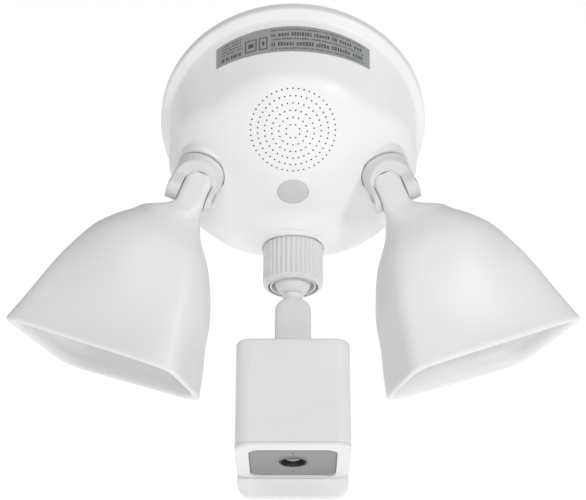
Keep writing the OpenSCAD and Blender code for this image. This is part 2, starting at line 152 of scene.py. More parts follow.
def lathe(name, profile, origin, basis, count=96, close=False, sharp=35):
    """A piece turned about local z from (radius, z) points."""
    angles = np.linspace(0, 2 * math.pi, count, endpoint=False)
    circle = np.stack([np.cos(angles), np.sin(angles)], axis=1)
    rings = [np.column_stack([r * circle, np.full(count, z)]) for r, z in profile]
    return loft(name, rings, origin, basis, close, sharp)


def cylinder_points(radius, z0, z1, count=24):
    a = np.linspace(0, 2 * math.pi, count, endpoint=False)
    ring = np.stack([radius * np.cos(a), radius * np.sin(a), np.zeros(count)], axis=1)
    return np.concatenate([ring + [0, 0, z0], ring + [0, 0, z1]])


def cutter(name, parts):
    """One object from several closed tubes: each part is (points, points in a ring)."""
    points, faces = [], []
    for tube, count in parts:
        base = sum(len(p) for p in points)
        rings = len(tube) // count
        faces += [tuple(base + v for v in f) for f in grid(rings, count)]
        faces.append(tuple(base + v for v in range(count - 1, -1, -1)))
        faces.append(tuple(base + (rings - 1) * count + v for v in range(count)))
        points.append(tube)
    return make_piece(name, np.concatenate(points), faces)


def boolean(obj, other, operation):
    """Joins or cuts with another closed object, which is then removed."""
    mod = obj.modifiers.new("cut", "BOOLEAN")
    mod.operation = operation
    mod.object = other
    mod.solver = "MANIFOLD"
    apply_modifiers(obj)
    bpy.data.objects.remove(other)


def apply_modifiers(obj):
    graph = bpy.context.evaluated_depsgraph_get()
    mesh = bpy.data.meshes.new_from_object(obj.evaluated_get(graph))
    obj.modifiers.clear()
    old = obj.data
    obj.data = mesh
    bpy.data.meshes.remove(old)
    shade(obj, 35)


def mirrored(obj, name):
    """A copy of the piece mirrored in the plane X = 0."""
    copy = bpy.data.objects.new(name, obj.data.copy())
    copy.data.transform(Matrix.Scale(-1, 4, (1, 0, 0)))
    copy.data.flip_normals()
    bpy.context.scene.collection.objects.link(copy)
    return copy


def smoothstep(x, low, high):
    u = np.clip((x - low) / (high - low), 0, 1)
    return u * u * (3 - 2 * u)


# ---------------------------------------------------------------- materials
def plastic(name, colour, roughness=0.42, grain=0.03, grain_mm=0.35, tint=0.02, specular=0.45, metallic=0.0):
    """Moulded plastic or metal: fine bump, faint cloudy tint, and uneven gloss."""
    mat = bpy.data.materials.new(name)
    mat.use_nodes = True
    tree = mat.node_tree
    shader = tree.nodes["Principled BSDF"]
    shader.inputs["Metallic"].default_value = metallic
    shader.inputs["Specular IOR Level"].default_value = specular
    place = tree.nodes.new("ShaderNodeTexCoord")

    cloud = tree.nodes.new("ShaderNodeTexNoise")
    cloud.inputs["Scale"].default_value = 18
    cloud.inputs["Detail"].default_value = 3
    tree.links.new(place.outputs["Object"], cloud.inputs["Vector"])
    shade = tree.nodes.new("ShaderNodeValToRGB")
    shade.color_ramp.elements[0].position = 0.3
    shade.color_ramp.elements[1].position = 0.7
    shade.color_ramp.elements[0].color = (*[c * (1 - tint) for c in colour], 1)
    shade.color_ramp.elements[1].color = (*[min(1, c * (1 + tint)) for c in colour], 1)
    tree.links.new(cloud.outputs["Fac"], shade.inputs["Fac"])
    tree.links.new(shade.outputs["Color"], shader.inputs["Base Color"])

    fine = tree.nodes.new("ShaderNodeTexNoise")
    fine.inputs["Scale"].default_value = 1 / (grain_mm * MM)
    fine.inputs["Detail"].default_value = 2
    tree.links.new(place.outputs["Object"], fine.inputs["Vector"])
    bump = tree.nodes.new("ShaderNodeBump")
    bump.inputs["Strength"].default_value = grain
    bump.inputs["Distance"].default_value = 0.2 * MM
    tree.links.new(fine.outputs["Fac"], bump.inputs["Height"])
    tree.links.new(bump.outputs["Normal"], shader.inputs["Normal"])

    gloss = tree.nodes.new("ShaderNodeMapRange")
    gloss.inputs["To Min"].default_value = roughness - 0.04
    gloss.inputs["To Max"].default_value = roughness + 0.05
    tree.links.new(cloud.outputs["Fac"], gloss.inputs["Value"])
    tree.links.new(gloss.outputs["Result"], shader.inputs["Roughness"])
    return mat


canopy_white = plastic("canopy_plastic", (0.86, 0.862, 0.87), 0.38, 0.04, 0.5)
lamp_white = plastic("lamp_plastic", (0.80, 0.802, 0.81), 0.42, 0.05, 0.5)
joint_white = plastic("joint_plastic", (0.72, 0.72, 0.725), 0.45, 0.05, 0.4)
camera_white = plastic("camera_plastic", (0.79, 0.792, 0.80), 0.5, 0.06, 0.4)
label_silver = plastic("label_film", (0.33, 0.34, 0.34), 0.38, 0.02, 0.3, 0.03)
label_ink = plastic("label_print", (0.10, 0.10, 0.11), 0.55, 0.02, 0.3)
window_grey = plastic("window_plastic", (0.62, 0.62, 0.62), 0.48, 0.1, 0.25, 0.03)
seal_rubber = plastic("seal_rubber", (0.045, 0.045, 0.047), 0.75, 0.2, 0.6, 0.1, 0.3)
zinc_steel = plastic("zinc_steel", (0.62, 0.62, 0.60), 0.32, 0.08, 0.3, 0.06, 0.5, 1.0)
black_plastic = plastic("black_plastic", (0.018, 0.018, 0.02), 0.5, 0.15, 0.4, 0.1)
board_green = plastic("board_green", (0.02, 0.14, 0.06), 0.35, 0.1, 0.8, 0.15)
panel_grey = plastic("panel_grey", (0.25, 0.245, 0.235), 0.42, 0.12, 0.3, 0.04)
cast_aluminium = plastic("cast_aluminium", (0.62, 0.62, 0.64), 0.45, 0.25, 0.6, 0.05, 0.5, 1.0)
reflector_silver = plastic("reflector_silver", (0.85, 0.85, 0.86), 0.16, 0.01, 0.5, 0.02, 0.5, 1.0)
led_yellow = plastic("led_phosphor", (0.85, 0.78, 0.35), 0.5, 0.1, 0.3, 0.05)
diffuser_white = plastic("diffuser_white", (0.90, 0.90, 0.90), 0.5, 0.1, 0.6, 0.01)


def glass_material(name, colour, roughness):
    """Dark coated glass: a glossy face over a deep tinted body."""
    mat = plastic(name, colour, roughness, 0.0, 0.5, 0.05, 0.8)
    shader = mat.node_tree.nodes["Principled BSDF"]
    shader.inputs["Coat Weight"].default_value = 1.0
    shader.inputs["Coat Roughness"].default_value = 0.03
    return mat


lens_dark = glass_material("lens_glass", (0.012, 0.012, 0.02), 0.1)

NODE_MATERIALS = {
    canopy_white: ["back_plate", "canopy_cover"],
    joint_white: ["lock_collar", "ball_socket", "ball", "camera_stem", "yoke"],
    camera_white: ["camera_housing", "camera_front", "camera_chin"],
    label_silver: ["spec_label"],
    window_grey: ["sensor_window"],
    seal_rubber: ["wall_gasket", "speaker_gasket", "camera_gasket", "yoke_seal", "lamp_gasket"],
    zinc_steel: ["cover_screws", "speaker_screws", "board_screws", "socket_nut", "stem_nut", "camera_screws",
                 "swivel_nut", "tilt_bolt", "tilt_nut", "lamp_screws"],
    black_plastic: ["speaker", "power_module", "lens_barrel"],
    board_green: ["main_board", "image_board"],
    panel_grey: ["face_panel"],
    lens_dark: ["lens_glass"],
    lamp_white: ["lamp_shell"],
    cast_aluminium: ["heat_sink"],
    led_yellow: ["led_board"],
    reflector_silver: ["reflector"],
    diffuser_white: ["lamp_lens", "ball_liner"],
}
for material, names in NODE_MATERIALS.items():
    for name in names:
        for full in (name, name + "_left", name + "_right"):
            if full in nodes:
                nodes[full].data.materials.clear()
                nodes[full].data.materials.append(material)


def dress(obj, material, body, slot_name, *stands_for):
    """Gives a piece its material, hangs it on its body and hides the CAD nodes that it stands for. The slot
    name is not used.
    """
    obj.data.materials.clear()
    obj.data.materials.append(material)
    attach(obj, body)
    if stands_for:
        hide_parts(*stands_for)
    return obj


def dress_pair(obj, material, body, slot_name, node):
    """The left piece and its mirror image on the right."""
    right = mirrored(obj, obj.name.replace("_left", "_right"))
    dress(obj, material, body + "_left", slot_name, node + "_left")
    dress(right, material, body + "_right", slot_name, node + "_right")


# ---------------------------------------------------------------- canopy
RIM_R = 80.0
RIDGE_R, RIDGE_T = 74.4, 8.6
COVER_WALL = 2.5
DOME_R, APEX_T = 94.7, 59.0
DOME_MID = APEX_T - DOME_R
SPEAKER_Z, WINDOW_Z, WINDOW_R = 27.2, -12.2, 9.0
COLLAR_R, COLLAR_BORE, COLLAR_BACK, COLLAR_FRONT = 18.0, 16.65, -21.0, 5.9
SEAT_DROP, FLANGE_R, SWIVEL_R = 20.0, 14.5, 8.0  # the knuckle's seat below its pin, its flange and its stem


def on_dome(z):
    """Origin and basis of a place on the front dome, its z along the dome's normal."""
    slope = math.asin(z / DOME_R)
    normal = np.array([0, -math.cos(slope), math.sin(slope)])
    return np.array([0, -DOME_MID, 0]), axes(np.array([1.0, 0, 0]), normal)


def front_out(x, z):
    """How far the canopy's front stands out of the wall: a dome with a fuller belly and chin."""
    r2 = x * x + z * z
    dome = DOME_MID + np.sqrt(DOME_R**2 - np.minimum(r2, 86.0**2))
    angle = np.degrees(np.arctan2(np.abs(x), z))
    belly = 9 * smoothstep(angle, 80, 106) + 11 * smoothstep(angle, 100, 138)
    belly = belly - 3 * smoothstep(angle, 145, 175)
    chin = 8.5 * np.exp(-((x / 31) ** 2) - ((z + 46) / 19) ** 2) * smoothstep(-z, 22, 42)
    return dome + belly * (np.sqrt(r2) / 72) ** 4 + chin


def wall_slope(angle):
    """How much the side wall leans in, per millimetre out, by the angle from the top."""
    upright = 0.596 - 0.31 * smoothstep(angle, 48, 84) - 0.30 * smoothstep(angle, 82, 98)
    return upright - 0.07 * smoothstep(angle, 92, 106) * (1 - smoothstep(angle, 120, 142))


def bezier(a, b, c, count):
    u = np.linspace(0, 1, count)[:, None, None]
    return (1 - u) ** 2 * a + 2 * u * (1 - u) * b + u**2 * c


def canopy_surface(inset, count):
    """Rows of points from the wall to the front's middle, each row running round the canopy."""
    phi = np.linspace(0, 2 * math.pi, count, endpoint=False)
    angle = np.degrees(np.arccos(np.cos(phi)))
    slope = wall_slope(angle)
    ridge_r = RIDGE_R - inset

    def front(r):
        return front_out(r * np.sin(phi), r * np.cos(phi)) - inset

    out = np.full(count, 30.0)
    for _ in range(60):
        corner_r = ridge_r - slope * (out - RIDGE_T)
        out = 0.5 * out + 0.5 * front(corner_r)
    corner_r = ridge_r - slope * (out - RIDGE_T)
    soft = 5 + 5 * smoothstep(angle, 104, 132)
    spread = lambda r, t: np.stack([np.broadcast_to(r, count), np.broadcast_to(t, count)], axis=1)
    lean = np.stack([-slope, np.ones(count)], axis=1)
    lean /= np.linalg.norm(lean, axis=1, keepdims=True)
    start = spread(corner_r, out) - lean * soft[:, None]
    end = spread(corner_r - soft, front(corner_r - soft))
    edge = RIM_R - inset
    rows = [spread(edge, 0), spread(edge, 1.5), spread(edge, 3.2 - inset * 0.4)]
    rim_top = spread(edge - 2, 6.8 - inset * 0.6)
    rows += list(bezier(spread(edge, 4.2 - inset * 0.5), spread(edge, 6.2 - inset * 0.6), rim_top, 6))
    wall_start = spread(ridge_r, RIDGE_T) + lean * 1.6
    ridge_foot = spread(ridge_r + 1.8, 8 - inset * 0.5)
    rows += list(bezier(ridge_foot, spread(ridge_r, RIDGE_T - inset * 0.4), wall_start, 5))
    rows += [wall_start + (start - wall_start) * u for u in np.linspace(0, 1, 12)[1:]]
    rows += list(bezier(start, spread(corner_r, out), end, 12))[1:]
    for u in np.linspace(1, 0, 64)[1:-1]:
        r = (corner_r - soft) * u
        rows.append(spread(r, front(r)))
    points = []
    for row in rows:
        points.append(np.stack([row[:, 0] * np.sin(phi), -row[:, 1], row[:, 0] * np.cos(phi)], axis=1))
    return points


def closed_shell(outer, inner, outer_tip, inner_tip):
    """Points and faces of a shell: outer and inner rows, each to a tip, joined along their first rows."""
    count = len(outer[0])
    points = np.concatenate(outer + inner + [outer_tip[None], inner_tip[None]])
    faces = grid(len(outer), count)
    base = len(outer) * count
    faces += [tuple(base + v for v in f[::-1]) for f in grid(len(inner), count)]
    tip = len(points) - 2
    for j in range(count):
        k = (j + 1) % count
        faces.append(((len(outer) - 1) * count + j, (len(outer) - 1) * count + k, tip))
        faces.append((base + (len(inner) - 1) * count + k, base + (len(inner) - 1) * count + j, tip + 1))
        faces.append((k, j, base + j, base + k))
    return points, faces


def grille_holes():
    """Six rings of small holes, more in each ring, square to the front."""
    origin, basis = on_dome(SPEAKER_Z)
    parts = []
    for ring in range(1, 7):
        for i in range(8 * ring):
            a = 2 * math.pi * (i + 0.5 * (ring % 2)) / (8 * ring)
            hole = cylinder_points(0.52, DOME_R - 9, DOME_R + 4, 12)
            hole += [4.05 * ring * math.cos(a), 4.05 * ring * math.sin(a), 0]
            parts.append((placed(hole, origin, basis), 12))
    return parts


def canopy():
    outer = canopy_surface(0, 288)
    inner = canopy_surface(COVER_WALL, 288)
    tip = front_out(np.zeros(1), np.zeros(1))[0]
    points, faces = closed_shell(outer, inner, np.array([0, -tip, 0]), np.array([0, COVER_WALL - tip, 0]))
    cover = make_piece("cover_shell", points, faces)
    for side in (-1, 1):
        flip = np.array([-side, 1, 1])
        boss = placed(cylinder_points(15.2, -SEAT_DROP - 10, -SEAT_DROP, 96), PIN, KNUCKLE) * flip
        boolean(cover, cutter("boss", [(boss, 96)]), "UNION")
        # The flange's pocket, the flat facet beside it, the swivel's bore, and room for its nut.
        cuts = [
            (-SEAT_DROP, 12, FLANGE_R + 0.5, 0),
            (-SEAT_DROP + 1.4, 30, 26, -12.5),
            (-SEAT_DROP - 20, 1, SWIVEL_R + 0.06, 0),
            (-SEAT_DROP - 26, -SEAT_DROP - 10, 11.2, 0),
        ]
        for low, high, radius, aside in cuts:
            tube = placed(cylinder_points(radius, low, high, 120) + [aside, 0, 0], PIN, KNUCKLE) * flip
            boolean(cover, cutter("recess", [(tube, 120)]), "DIFFERENCE")
    seat = placed(cylinder_points(23, COLLAR_BACK - 8, COLLAR_BACK - 1.2, 96), BALL, CAMERA)
    boolean(cover, cutter("collar_seat", [(seat, 96)]), "UNION")
    for radius, low in ((COLLAR_R + 0.7, COLLAR_BACK - 0.5), (16.35, COLLAR_BACK - 30)):
        tube = placed(cylinder_points(radius, low, 20, 96), BALL, CAMERA)
        boolean(cover, cutter("collar_well", [(tube, 96)]), "DIFFERENCE")
    origin, basis = on_dome(WINDOW_Z)
    window = placed(cylinder_points(WINDOW_R + 0.12, DOME_R - 12, DOME_R + 6, 72), origin, basis)
    boolean(cover, cutter("window_hole", [(window, 72)]), "DIFFERENCE")
    boolean(cover, cutter("grille", grille_holes()), "DIFFERENCE")
    shade(cover, 32)
    dress(cover, canopy_white, "canopy", "canopy_white", "canopy_cover")


LABEL_HALF = 44.4
LABEL_LOW, LABEL_HIGH = 12.8, 27.0


def label_point(u, out, lift):
    """A point on the upper wall: u runs from -1 to 1 across the label, whose ends are upright."""
    angle = math.radians(40 * u)
    out = LABEL_LOW + (out - LABEL_LOW) * (1 - 0.32 * u * u)
    for _ in range(3):
        r = RIDGE_R - float(wall_slope(abs(math.degrees(angle)))) * (out - RIDGE_T) + lift * 0.86
        angle = math.asin(LABEL_HALF * u / r)
    return np.array([r * math.sin(angle), -out - lift * 0.51, r * math.cos(angle)])


def label_patch(u0, u1, t0, t1, low, high, steps):
    """A thin curved slab on the upper wall."""
    points, faces = [], []
    for u in np.linspace(u0, u1, steps + 1):
        points += [label_point(u, t, lift) for t, lift in ((t0, low), (t1, low), (t1, high), (t0, high))]
    for i in range(steps):
        for j in range(4):
            k = (j + 1) % 4
            faces.append((4 * i + j, 4 * i + k, 4 * i + 4 + k, 4 * i + 4 + j))
    faces += [(3, 2, 1, 0), tuple(4 * steps + j for j in range(4))]
    return points, faces


def label():
    points, faces = label_patch(-1, 1, LABEL_LOW, LABEL_HIGH, 0.08, 0.3, 60)
    dress(make_piece("label_sheet", points, faces), label_silver, "canopy", "label_silver", "spec_label")
    # Rows of plain blocks in the place of print, in three columns.
    rng = random.Random(7)
    points, faces = [], []

    def bar(u0, u1, t0, t1):
        more, quads = label_patch(u0, u1, t0, t1, 0.3, 0.35, max(1, int((u1 - u0) / 0.04)))
        faces.extend(tuple(len(points) + v for v in q) for q in quads)
        points.extend(more)

    def words(u0, u1, t0, t1, stroke):
        u = u0
        while u < u1:
            for _ in range(rng.randint(2, 8)):
                wide = stroke * rng.uniform(0.7, 1.3)
                if u + wide > u1:
                    break
                tall = rng.choice((1, 1, 0.8))
                bar(u, u + wide, t1 - (t1 - t0) * tall, t1)
                u += wide + stroke * 0.45
            u += stroke * 1.1

    fine, bold = 0.012, 0.024
    lines = ((14.2, 15.1, fine), (16.2, 18.3, bold), (19.4, 20.3, fine),
             (21.5, 23.8, bold), (24.9, 25.7, fine))
    for t0, t1, stroke in lines:
        words(-0.28, 0.93, t0, t1, stroke)
    for t0, t1 in ((14.4, 15.2), (16.4, 17.2), (18.4, 19.2), (20.4, 21.2), (22.8, 25.2)):
        words(-0.93, -0.66, t0, t1, 0.013)
    for u0, u1 in ((-0.62, -0.47), (-0.44, -0.33)):
        for t0, t1 in ((17.6, 18.2), (24.2, 24.8)):
            bar(u0, u1, t0, t1)
        for e0, e1 in ((u0, u0 + 0.015), (u1 - 0.015, u1)):
            bar(e0, e1, 18.2, 24.2)
        bar(u0 + 0.04, u1 - 0.04, 20.0, 22.4)
    dress(make_piece("label_print", points, faces), label_ink, "canopy", "label_silver")


def sensor_window():
    """A round matt window with a soft edge, its face following the dome."""
    origin, basis = on_dome(WINDOW_Z)
    face = lambda r: math.sqrt(DOME_R**2 - r * r) + 0.3
    profile = [(0.01, DOME_R - 2), (WINDOW_R - 0.1, DOME_R - 2), (WINDOW_R - 0.05, face(WINDOW_R) - 0.5)]
    profile += [(WINDOW_R - 0.15, face(WINDOW_R) - 0.2), (WINDOW_R - 0.45, face(WINDOW_R))]
    profile += [(WINDOW_R * u, face(WINDOW_R * u)) for u in (0.9, 0.7, 0.5, 0.3, 0.1)] + [(0.01, face(0))]
    dress(lathe("window_lens", profile, origin, basis), window_grey, "canopy", "window_grey", "sensor_window")


# ---------------------------------------------------------------- lock collar and stem
def lock_collar():
    """The ribbed collar: round-topped ribs that fade out before the chamfered end."""
    ribs, per_rib = 36, 10
    count = ribs * per_rib
    a = np.linspace(0, 2 * math.pi, count, endpoint=False)
    wave = np.abs(np.cos(a * ribs / 2)) ** 0.7
    end = COLLAR_FRONT - 2.2

    def ring(radius, z, depth=0.0):
        r = radius - depth * (1 - wave)
        return np.stack([r * np.cos(a), r * np.sin(a), np.full(count, z)], axis=1)

    rings = [ring(COLLAR_BORE, COLLAR_BACK), ring(COLLAR_R - 1.0, COLLAR_BACK)]
    rings += [ring(COLLAR_R - 0.4, COLLAR_BACK + 0.3, 0.3)]
    rings += [ring(COLLAR_R, z, 0.95) for z in np.linspace(COLLAR_BACK + 0.9, end - 1.2, 10)]
    rings += [ring(COLLAR_R, end - 0.5, 0.5), ring(COLLAR_R - 0.05, end, 0.1)]
    rings += [ring(COLLAR_R - 2 * u, end + 2.0 * u) for u in (0.15, 0.5, 0.85)]
    face = COLLAR_FRONT - 0.02
    rings += [ring(COLLAR_R - 2.3, face), ring(15.1, face), ring(14.9, COLLAR_FRONT - 0.25)]
    cup = 15.5
    for z in np.linspace(2.5, 0, 5):
        rings.append(ring(math.sqrt(cup**2 - z * z), z))
    rings += [ring(COLLAR_BORE, -0.5)]
    piece = loft("collar_ribbed", rings, BALL, CAMERA, close=True, sharp=40)
    dress(piece, joint_white, "collar", "joint_white", "lock_collar")


def ball_liner():
    """The cup between ball and collar. Its front is a thin ring with a gap on each side."""
    inner, outer, low, high = 11.62, 15.2, -7.0, 5.2
    profile = [(math.sqrt(outer**2 - z * z), z) for z in np.linspace(low, 0.8, 12)]
    profile += [(14.0, 1.0), (13.9, high), (12.8, high), (12.6, 1.2)]
    profile += [(math.sqrt(inner**2 - z * z), z) for z in np.linspace(1.0, low, 12)]
    cup = lathe("liner_cup", profile, BALL, CAMERA, close=True)
    dress(cup, joint_white, "liner", "seal_rubber", "ball_liner")


STEM_R = 5.9
PADDLE_W, PADDLE_T = 21.6, 12.0
CAMERA_BACK = 51.4
BOX_BACK = CAMERA_BACK - 1.4


def stem_ring(width, thick, power, z, count=72):
    a = np.linspace(0, 2 * math.pi, count, endpoint=False)
    c, s = np.cos(a), np.sin(a)
    x = width / 2 * np.sign(c) * np.abs(c) ** (2 / power)
    y = thick / 2 * np.sign(s) * np.abs(s) ** (2 / power)
    return np.stack([x, y, np.full(count, z)], axis=1)


def camera_stem():
    """Spigot, round neck, and a flat paddle with round shoulders that runs into the box."""
    def round_ring(radius, z):
        return stem_ring(2 * radius, 2 * radius, 2, z)

    spigot, neck = 3.95, 2 * STEM_R
    rings = [round_ring(spigot - 0.3, -4.8), round_ring(spigot, -4.4), round_ring(spigot, 9.5)]
    rings += [round_ring(STEM_R + 0.7, 11.3), round_ring(STEM_R, 13), round_ring(STEM_R, 14.8)]
    for u in np.linspace(0, 1, 14)[1:]:
        wide = neck + (PADDLE_W - neck) * math.sin(u * math.pi / 2)
        thick = neck + (PADDLE_T - neck) * u
        rings.append(stem_ring(wide, thick, 2 + 2.2 * u, 15 + 7.5 * (1 - math.cos(u * math.pi / 2))))
    end = BOX_BACK - 0.05
    rings += [stem_ring(PADDLE_W, PADDLE_T, 4.6, z) for z in (30, end)]
    rings += [round_ring(4.95, end), round_ring(4.95, CAMERA_BACK + 10)]
    dress(loft("stem_paddle", rings, BALL, CAMERA), joint_white, "camera", "joint_white", "camera_stem")


# ---------------------------------------------------------------- camera
BOX_W, BOX_H, BOX_ROUND = 65.0, 59.5, 9.0
BOX_FRONT = CAMERA_BACK + 63.3
BEZEL_T = 2.9
PANEL_W, PANEL_H = 49.2, 49.6
LENS_R = 8.0
SHELL = 2.4


def rounded_rim(width, height, radius, z, cut, out, steps=6):
    """Rings that round an edge: out = 1 rolls forward towards +z, -1 towards -z."""
    rings = []
    for u in np.linspace(0, 1, steps):
        a = u * math.pi / 2
        side = cut * (1 - math.cos(a))
        level = z - out * cut * (1 - math.sin(a))
        rings.append(rounded_ring(width - 2 * side, height - 2 * side, max(0.4, radius - side), level))
    return rings


def camera_housing():
    back, front = BOX_BACK, BOX_FRONT - BEZEL_T - 0.6
    bore = 5.05
    rings = [rounded_ring(2 * bore, 2 * bore, bore, z) for z in (CAMERA_BACK + SHELL, back)]
    rings += rounded_rim(BOX_W, BOX_H, BOX_ROUND, back, 2.0, -1)[::-1]
    rings += [rounded_ring(BOX_W, BOX_H, BOX_ROUND, z) for z in np.linspace(back + 6, front - 0.3, 6)]
    # A thin lip laps over the gasket's edge.
    lip = (BOX_W - 0.7, BOX_H - 0.7, BOX_ROUND - 0.35)
    rings += [rounded_ring(BOX_W, BOX_H, BOX_ROUND, front + 0.55), rounded_ring(*lip, front + 0.55)]
    rings += [rounded_ring(*lip, front)]
    inner = (BOX_W - 2 * SHELL, BOX_H - 2 * SHELL, BOX_ROUND - SHELL)
    rings += [rounded_ring(*inner, front), rounded_ring(*inner, CAMERA_BACK + SHELL)]
    piece = loft("housing_shell", rings, BALL, CAMERA, close=True, sharp=40)
    dress(piece, camera_white, "camera", "camera_white", "camera_housing")


def camera_front():
    """The white bezel: round outer edge, shallow recess for the panel, and a hole for the lens."""
    back, front = BOX_FRONT - BEZEL_T, BOX_FRONT
    floor = back + 0.75
    hole = LENS_R + 0.4
    rings = [rounded_ring(BOX_W - 0.5, BOX_H - 0.5, BOX_ROUND - 0.2, back)]
    rings += [rounded_ring(BOX_W, BOX_H, BOX_ROUND, back + 0.3)]
    rings += rounded_rim(BOX_W, BOX_H, BOX_ROUND, front, 1.8, 1)
    rings += rounded_rim(PANEL_W + 0.5, PANEL_H + 0.5, 7, front, -0.5, 1, 4)[::-1]
    rings += [rounded_ring(PANEL_W + 0.5, PANEL_H + 0.5, 7, floor)]
    rings += [rounded_ring(2 * hole, 2 * hole, hole, z) for z in (floor, back)]
    piece = loft("front_bezel", rings, BALL, CAMERA, close=True, sharp=40)
    dress(piece, camera_white, "camera", "camera_white", "camera_front")


def face_panel():
    """The grey panel, with a raised ring round the lens, a pinhole below it and one above."""
    back, front = BOX_FRONT - BEZEL_T + 0.8, BOX_FRONT - 0.75
    hole = LENS_R + 0.02
    rings = [rounded_ring(2 * hole, 2 * hole, hole, back), rounded_ring(PANEL_W, PANEL_H, 6.8, back)]
    rings += rounded_rim(PANEL_W, PANEL_H, 6.8, front, 0.35, 1, 4)
    for wider, raised in ((1.7, 0), (1.3, 0.5), (0.4, 0.5), (0, 0.2)):
        r = hole + wider
        rings.append(rounded_ring(2 * r, 2 * r, r, front + raised))
    panel = loft("panel_plate", rings, BALL, CAMERA, close=True, sharp=30)
    pin = cylinder_points(0.7, back - 2, front + 2, 20)
    holes = [(placed(pin + [0, y, 0], BALL, CAMERA), 20) for y in (-17.5, 15)]
    boolean(panel, cutter("pinholes", holes), "DIFFERENCE")
    dress(panel, panel_grey, "camera", "panel_grey", "face_panel")


def camera_lens():
    """Stepped black barrel and a domed front element."""
    front = BOX_FRONT
    profile = [(5.0, front - 22.8), (LENS_R, front - 24), (LENS_R, front - 0.6), (LENS_R - 0.5, front - 0.1)]
    steps = ((7.1, 0.3), (6.9, 1.4), (6.62, 2.0), (6.62, 8.1), (5.0, 8.1))
    profile += [(r, front - drop) for r, drop in steps]
    barrel = lathe("lens_tube", profile, BALL, CAMERA, close=True)
    dress(barrel, black_plastic, "camera", "black_plastic", "lens_barrel")
    edge, spread = 6.55, 1.35
    height = lambda a: 2.2 * (math.cos(a) - math.cos(spread)) / (1 - math.cos(spread))
    dome = [(edge * math.sin(a), front - 3.6 + height(a)) for a in np.linspace(0.001, spread, 12)]
    profile = [(0.01, front - 8.0), (6.5, front - 8.0), (edge, front - 3.9)] + dome[::-1]
    dress(lathe("lens_element", profile, BALL, CAMERA), lens_dark, "camera", "lens_glass", "lens_glass")


def camera_chin():
    """The slab below the box that reaches forward past the face."""
    length, reach, thick = 46.0, 11.0, 6.8
    top = -BOX_H / 2
    basis = CAMERA @ np.array([[1, 0, 0], [0, 0, -1], [0, 1, 0]]).T
    origin = placed([[0, 0, BOX_FRONT + reach - length / 2]], BALL, CAMERA)[0]
    # Local z of this basis runs up along the box's height.
    up = basis[:, 2] @ CAMERA[:, 1]
    rings = rounded_rim(BOX_W, length, 9, (top - thick) * up, 1.5, -up)[::-1]
    rings += rounded_rim(BOX_W, length, 9, (top - 0.02) * up, 0.6, up)
    dress(loft("chin_slab", rings, origin, basis), camera_white, "camera", "camera_white", "camera_chin")


# ---------------------------------------------------------------- lamps
LAMP_L = 105.8
NECK_X, NECK_Y = -11.3, -22.4
TONGUE_X, TONGUE_HALF, TONGUE_R = 2.2, 8.2, 7.9
TONGUE_END, TONGUE_ARC = 13.4, 8.4  # how far the tongue passes the pin, and how much of that is its round end
PIN_BORE = 2.66
LAMP_WALL, LIP = 2.4, 4.0
CAVITY = 80.0
# The mouth is a rounded four-sided shape: the direction that each side faces, and its distance.
MOUTH_SIDES = ((107.5, 23.4), (28.0, 54.2), (-65.0, 36.0), (-143.5, 48.7))
MOUTH_ROUND = 7
OVAL_W, OVAL_H = 60.0, 39.0  # half sizes, at the mouth's scale, of the oval that the sections turn into
# Distance back from the mouth, half width, and how far the middle has moved towards the canopy.
STATIONS = np.array([
    (0, 61.5, 0.5), (14, 57.4, 1.0), (27, 53.4, 1.2), (42, 49.3, 2.0), (57, 43.0, 2.3),
    (69, 36.4, 2.5), (78, 28.5, 3.2), (85.5, 21.2, 5.3), (93, 16.5, 7.2), (98, 12.5, 9.0),
])


def smooth_curve(x, xs, ys):
    """A smooth curve through a few points, with no overshoot between them."""
    slopes = np.diff(ys) / np.diff(xs)
    product = slopes[1:] * slopes[:-1]
    middle = np.where(product > 0, 2 * product / (slopes[1:] + slopes[:-1] + 1e-12), 0)
    tangents = np.concatenate([slopes[:1], middle, slopes[-1:]])
    i = int(np.clip(np.searchsorted(xs, x) - 1, 0, len(xs) - 2))
    step = xs[i + 1] - xs[i]
    u = (x - xs[i]) / step
    return (ys[i] * (1 + 2 * u) * (1 - u) ** 2 + ys[i + 1] * u * u * (3 - 2 * u)
            + step * (tangents[i] * u * (1 - u) ** 2 - tangents[i + 1] * u * u * (1 - u)))


def lamp_ring(s, inset=0.0, count=240):
    """One section of the bell, in the lamp's frame from its tilt pin, with the mouth towards +z."""
    a = np.linspace(0, 2 * math.pi, count, endpoint=False)
    half = smooth_curve(s, STATIONS[:, 0], STATIONS[:, 1])
    wide = half / STATIONS[0, 1]
    tall = wide**0.9
    middle = -NECK_Y * (max(s, 0) / LAMP_L) ** 1.15
    cut_x, cut_y = inset / wide, inset / tall
    reach = [np.cos(a - math.radians(side)) / (d - cut_x) for side, d in MOUTH_SIDES]
    total = sum(np.maximum(0, r) ** MOUTH_ROUND for r in reach)
    sides = total ** (-1 / MOUTH_ROUND)
    oval = 1 / np.sqrt((np.cos(a) / (OVAL_W - cut_x)) ** 2 + (np.sin(a) / (OVAL_H - cut_y)) ** 2)
    even = 0.95 * float(smoothstep(s, 4, 92))
    r = sides * (1 - even) + oval * even
    x = smooth_curve(s, STATIONS[:, 0], STATIONS[:, 2]) + NECK_X + wide * r * np.cos(a)
    y = middle + NECK_Y + tall * r * np.sin(a)
    return np.stack([x, y, np.full(count, LAMP_L - s)], axis=1)


def tongue_ring(z, half, thick, count=240):
    """One section of the tongue, a rounded bar across the tilt pin."""
    a = np.linspace(0, 2 * math.pi, count, endpoint=False)
    r = ((np.abs(np.cos(a)) / half) ** 4.5 + (np.abs(np.sin(a)) / thick) ** 4.5) ** (-1 / 4.5)
    return np.stack([TONGUE_X + r * np.cos(a), r * np.sin(a), np.full(count, z)], axis=1)


